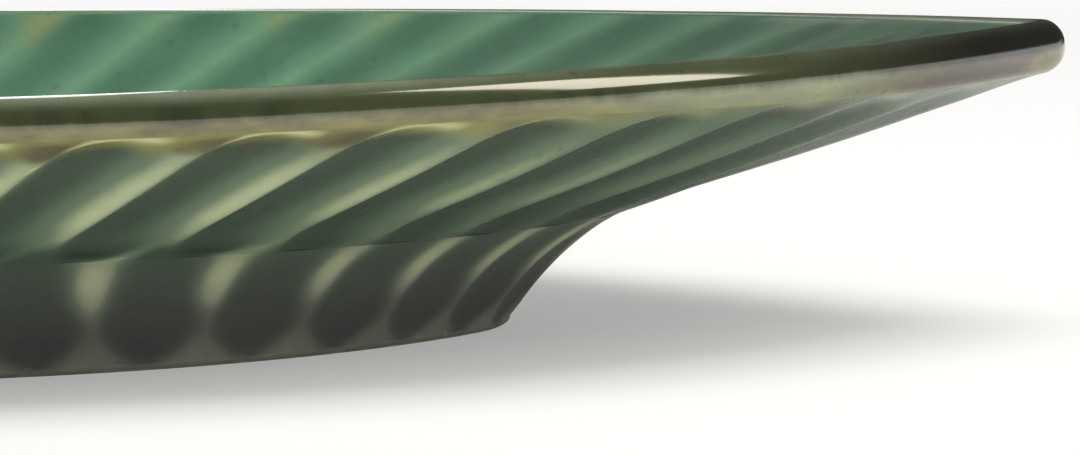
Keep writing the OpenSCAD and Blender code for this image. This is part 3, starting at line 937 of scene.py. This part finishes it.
def dark_glaze(glazes):
    """Satin charcoal glaze of the foot, greener towards the wall and wiped off its standing edge."""
    material, tree = new_material("charcoal_foot_glaze")
    foot = broken_glaze(tree, glazes, "foot_", mottle=0.3)
    near_wall = graded(tree, mask(tree, "up"), 0.3, 1.0, 0.8)
    thinner = times(tree, mask(tree, "pool"), 0.9)
    shade = blend(tree, near_wall, foot["Color"], outer_glaze(tree, glazes, thinner)["Color"])
    ragged = minus(tree, noise(tree, object_place(tree), 300.0), 0.5)
    wiped = plus(tree, mask(tree, "bare"), times(tree, ragged, 0.8))
    shade = blend(tree, graded(tree, wiped, 0.45, 0.7), shade, opaque(glazes.clay))
    coat = graded(tree, wiped, 0.45, 0.7, first=0.15, last=0.0)
    gloss = {"IOR": 1.5, "Coat Weight": coat, "Coat Roughness": 0.2, "Coat IOR": 1.5}
    fired(tree, shade, foot["Thickness"], specks=0.15, dull=0.34, relief=0.3, gloss=gloss)
    return material


def carried(piece, node):
    """Puts the piece in the place of its solid."""
    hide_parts(node)
    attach(piece, "root")


class LEAFPLATE_OT_leaf_dish(Operator):
    """Add the scooped leaf dish with its midrib"""

    bl_idname = "leaf_plate.leaf_dish"
    bl_label = "Leaf Dish"

    def execute(self, context):
        loft = leaf_dish_loft(LeafLines(context.scene.leaf_plate_sizes))
        piece = loft.finished("glazed_leaf_dish", green_glaze(context.scene.leaf_plate_glazes), closed=False)
        carried(piece, "leaf_dish")
        return {"FINISHED"}


class LEAFPLATE_OT_rim_coil(Operator):
    """Add the rounded coil along the rim"""

    bl_idname = "leaf_plate.rim_coil"
    bl_label = "Rim Coil"

    def execute(self, context):
        loft = rim_coil_loft(LeafLines(context.scene.leaf_plate_sizes))
        piece = loft.finished("glazed_rim_coil", brown_glaze(context.scene.leaf_plate_glazes), closed=True)
        carried(piece, "rim_coil")
        return {"FINISHED"}


class LEAFPLATE_OT_foot_ring(Operator):
    """Add the scooped foot ring"""

    bl_idname = "leaf_plate.foot_ring"
    bl_label = "Foot Ring"

    def execute(self, context):
        loft = foot_ring_loft(LeafLines(context.scene.leaf_plate_sizes))
        piece = loft.finished("glazed_foot_ring", dark_glaze(context.scene.leaf_plate_glazes), closed=True)
        carried(piece, "foot_ring")
        return {"FINISHED"}


# Half the table's side, and the distance over which it turns plain white to the camera, in metres
TABLE_REACH = 20.0
TABLE_WHITE = (0.35, 1.2)
# Camera of the photo: lens and sensor in millimetres, place in metres and degrees that it looks down
CAMERA_LENS = 178.6
CAMERA_SENSOR = 36.0
CAMERA_PLACE = (0.0826, -0.686, 0.0765)
CAMERA_DIP = 5.36


def table_material():
    """White table, which keeps the plate's shadow near it and is plain white to the camera far from it."""
    material, tree = new_material("white_table")
    table = shader_node(tree, "ShaderNodeBsdfPrincipled", {"Base Color": grey(0.93), "Roughness": 0.7})
    far = shader_node(tree, "ShaderNodeEmission", {"Color": grey(1.0), "Strength": 1.0})
    place = shader_node(tree, "ShaderNodeVectorMath", {0: object_place(tree)}, operation="LENGTH")
    path = shader_node(tree, "ShaderNodeLightPath").outputs
    seen = maths(tree, "MAXIMUM", path["Is Camera Ray"], path["Is Glossy Ray"])
    seen = times(tree, seen, graded(tree, place.outputs["Value"], *TABLE_WHITE))
    factor = maths(tree, "MAXIMUM", seen, times(tree, path["Is Camera Ray"], 0.3))
    mixed = shader_node(tree, "ShaderNodeMixShader", {0: factor, 1: table.outputs[0], 2: far.outputs[0]})
    shader_node(tree, "ShaderNodeOutputMaterial", {"Surface": mixed.outputs[0]})
    return material


def studio_world():
    """Room with pale walls and a dimmer ceiling. Gloss sees it dark, with a low white screen in front."""
    world = bpy.data.worlds.new("studio_room")
    world.use_nodes = True
    tree = world.node_tree
    tree.nodes.clear()
    around = shader_node(tree, "ShaderNodeTexCoord").outputs["Generated"]
    way = shader_node(tree, "ShaderNodeSeparateXYZ", {0: around}).outputs
    path = shader_node(tree, "ShaderNodeLightPath").outputs
    lighting = blend(tree, graded(tree, way["Z"], 0.3, 0.75), grey(0.75), grey(0.3))
    above = graded(tree, way["Z"], 0.08, 0.14)
    above = maths(tree, "MAXIMUM", above, graded(tree, way["Y"], 0.6, 0.85))
    mirrored = blend(tree, above, grey(1.0), grey(0.05))
    shade = blend(tree, path["Is Glossy Ray"], lighting, mirrored)
    shade = blend(tree, path["Is Camera Ray"], shade, grey(1.0))
    room = shader_node(tree, "ShaderNodeBackground", {"Color": shade, "Strength": 1.0})
    shader_node(tree, "ShaderNodeOutputWorld", {"Surface": room.outputs[0]})
    return world


def add_lamp(name, kind, place, target, energy, roll=0.0, **settings):
    """A lamp that shines from its place to the target, turned about that line by roll degrees."""
    lamp = bpy.data.lights.new(name, kind)
    lamp.energy = energy
    for setting, value in settings.items():
        setattr(lamp, setting, value)
    lamp_object = bpy.data.objects.new(name, lamp)
    lamp_object.location = place
    way = Vector(place) - Vector(target)
    turned = way.to_track_quat("Z", "Y") @ Quaternion((0, 0, 1), math.radians(roll))
    lamp_object.rotation_euler = turned.to_euler()
    lamp_object.visible_camera = False
    bpy.context.scene.collection.objects.link(lamp_object)
    return lamp_object


class LEAFPLATE_OT_studio(Operator):
    """Add the table, the lamps, the room and the camera"""

    bl_idname = "leaf_plate.studio"
    bl_label = "Studio"

    def execute(self, context):
        scene = context.scene
        ways = ((-1, -1), (1, -1), (1, 1), (-1, 1))
        corners = [(x * TABLE_REACH, y * TABLE_REACH, 0) for x, y in ways]
        mesh = bpy.data.meshes.new("table")
        mesh.from_pydata(corners, [], [(0, 1, 2, 3)])
        mesh.materials.append(table_material())
        table = bpy.data.objects.new("table", mesh)
        scene.collection.objects.link(table)

        scene.world = studio_world()
        overhead = add_lamp(
            "overhead_light", "SUN", place=(0.4, 0.25, 2.0), target=(0, 0, 0), energy=1.85,
            angle=math.radians(55),
        )
        overhead.visible_glossy = False
        add_lamp(
            "side_softbox", "AREA", place=(0.61, -0.104, 0.565), target=(0.09, -0.065, 0.035), energy=2.2,
            roll=-16, shape="RECTANGLE", size=0.225, size_y=0.46, color=(1.0, 0.92, 0.74),
        )
        back = add_lamp(
            "back_softbox", "AREA", place=(-0.03, 0.6, 0.31), target=(0.03, -0.092, 0.035), energy=0.19,
            shape="RECTANGLE", size=0.05, size_y=0.5,
        )
        back.visible_diffuse = False

        camera = bpy.data.cameras.new("camera")
        camera.lens = CAMERA_LENS
        camera.sensor_width = CAMERA_SENSOR
        view = bpy.data.objects.new("camera", camera)
        view.location = CAMERA_PLACE
        view.rotation_euler = (math.radians(90 - CAMERA_DIP), 0, 0)
        scene.collection.objects.link(view)
        scene.camera = view
        scene.view_settings.view_transform = "Standard"
        return {"FINISHED"}


OPERATORS = (LEAFPLATE_OT_leaf_dish, LEAFPLATE_OT_rim_coil, LEAFPLATE_OT_foot_ring, LEAFPLATE_OT_studio)


class LEAFPLATE_PT_sidebar(Panel):
    """Leaf plate in the 3D view's sidebar"""

    bl_idname = "LEAFPLATE_PT_sidebar"
    bl_label = "Leaf Plate"
    bl_space_type = "VIEW_3D"
    bl_region_type = "UI"
    bl_category = "Leaf Plate"

    def draw(self, context):
        layout = self.layout
        for operator in OPERATORS:
            layout.operator(operator.bl_idname)
        for group in (context.scene.leaf_plate_sizes, context.scene.leaf_plate_glazes):
            column = layout.column(align=True)
            for name in group.__annotations__:
                column.prop(group, name)


CLASSES = (LeafPlateSizes, LeafPlateGlazes, *OPERATORS, LEAFPLATE_PT_sidebar)


def register():
    for cls in CLASSES:
        bpy.utils.register_class(cls)
    bpy.types.Scene.leaf_plate_sizes = PointerProperty(type=LeafPlateSizes)
    bpy.types.Scene.leaf_plate_glazes = PointerProperty(type=LeafPlateGlazes)


def unregister():
    del bpy.types.Scene.leaf_plate_glazes
    del bpy.types.Scene.leaf_plate_sizes
    for cls in reversed(CLASSES):
        bpy.utils.unregister_class(cls)


def main():
    register()
    bpy.ops.leaf_plate.leaf_dish()
    bpy.ops.leaf_plate.rim_coil()
    bpy.ops.leaf_plate.foot_ring()
    bpy.ops.leaf_plate.studio()


if __name__ == "__main__":
    main()
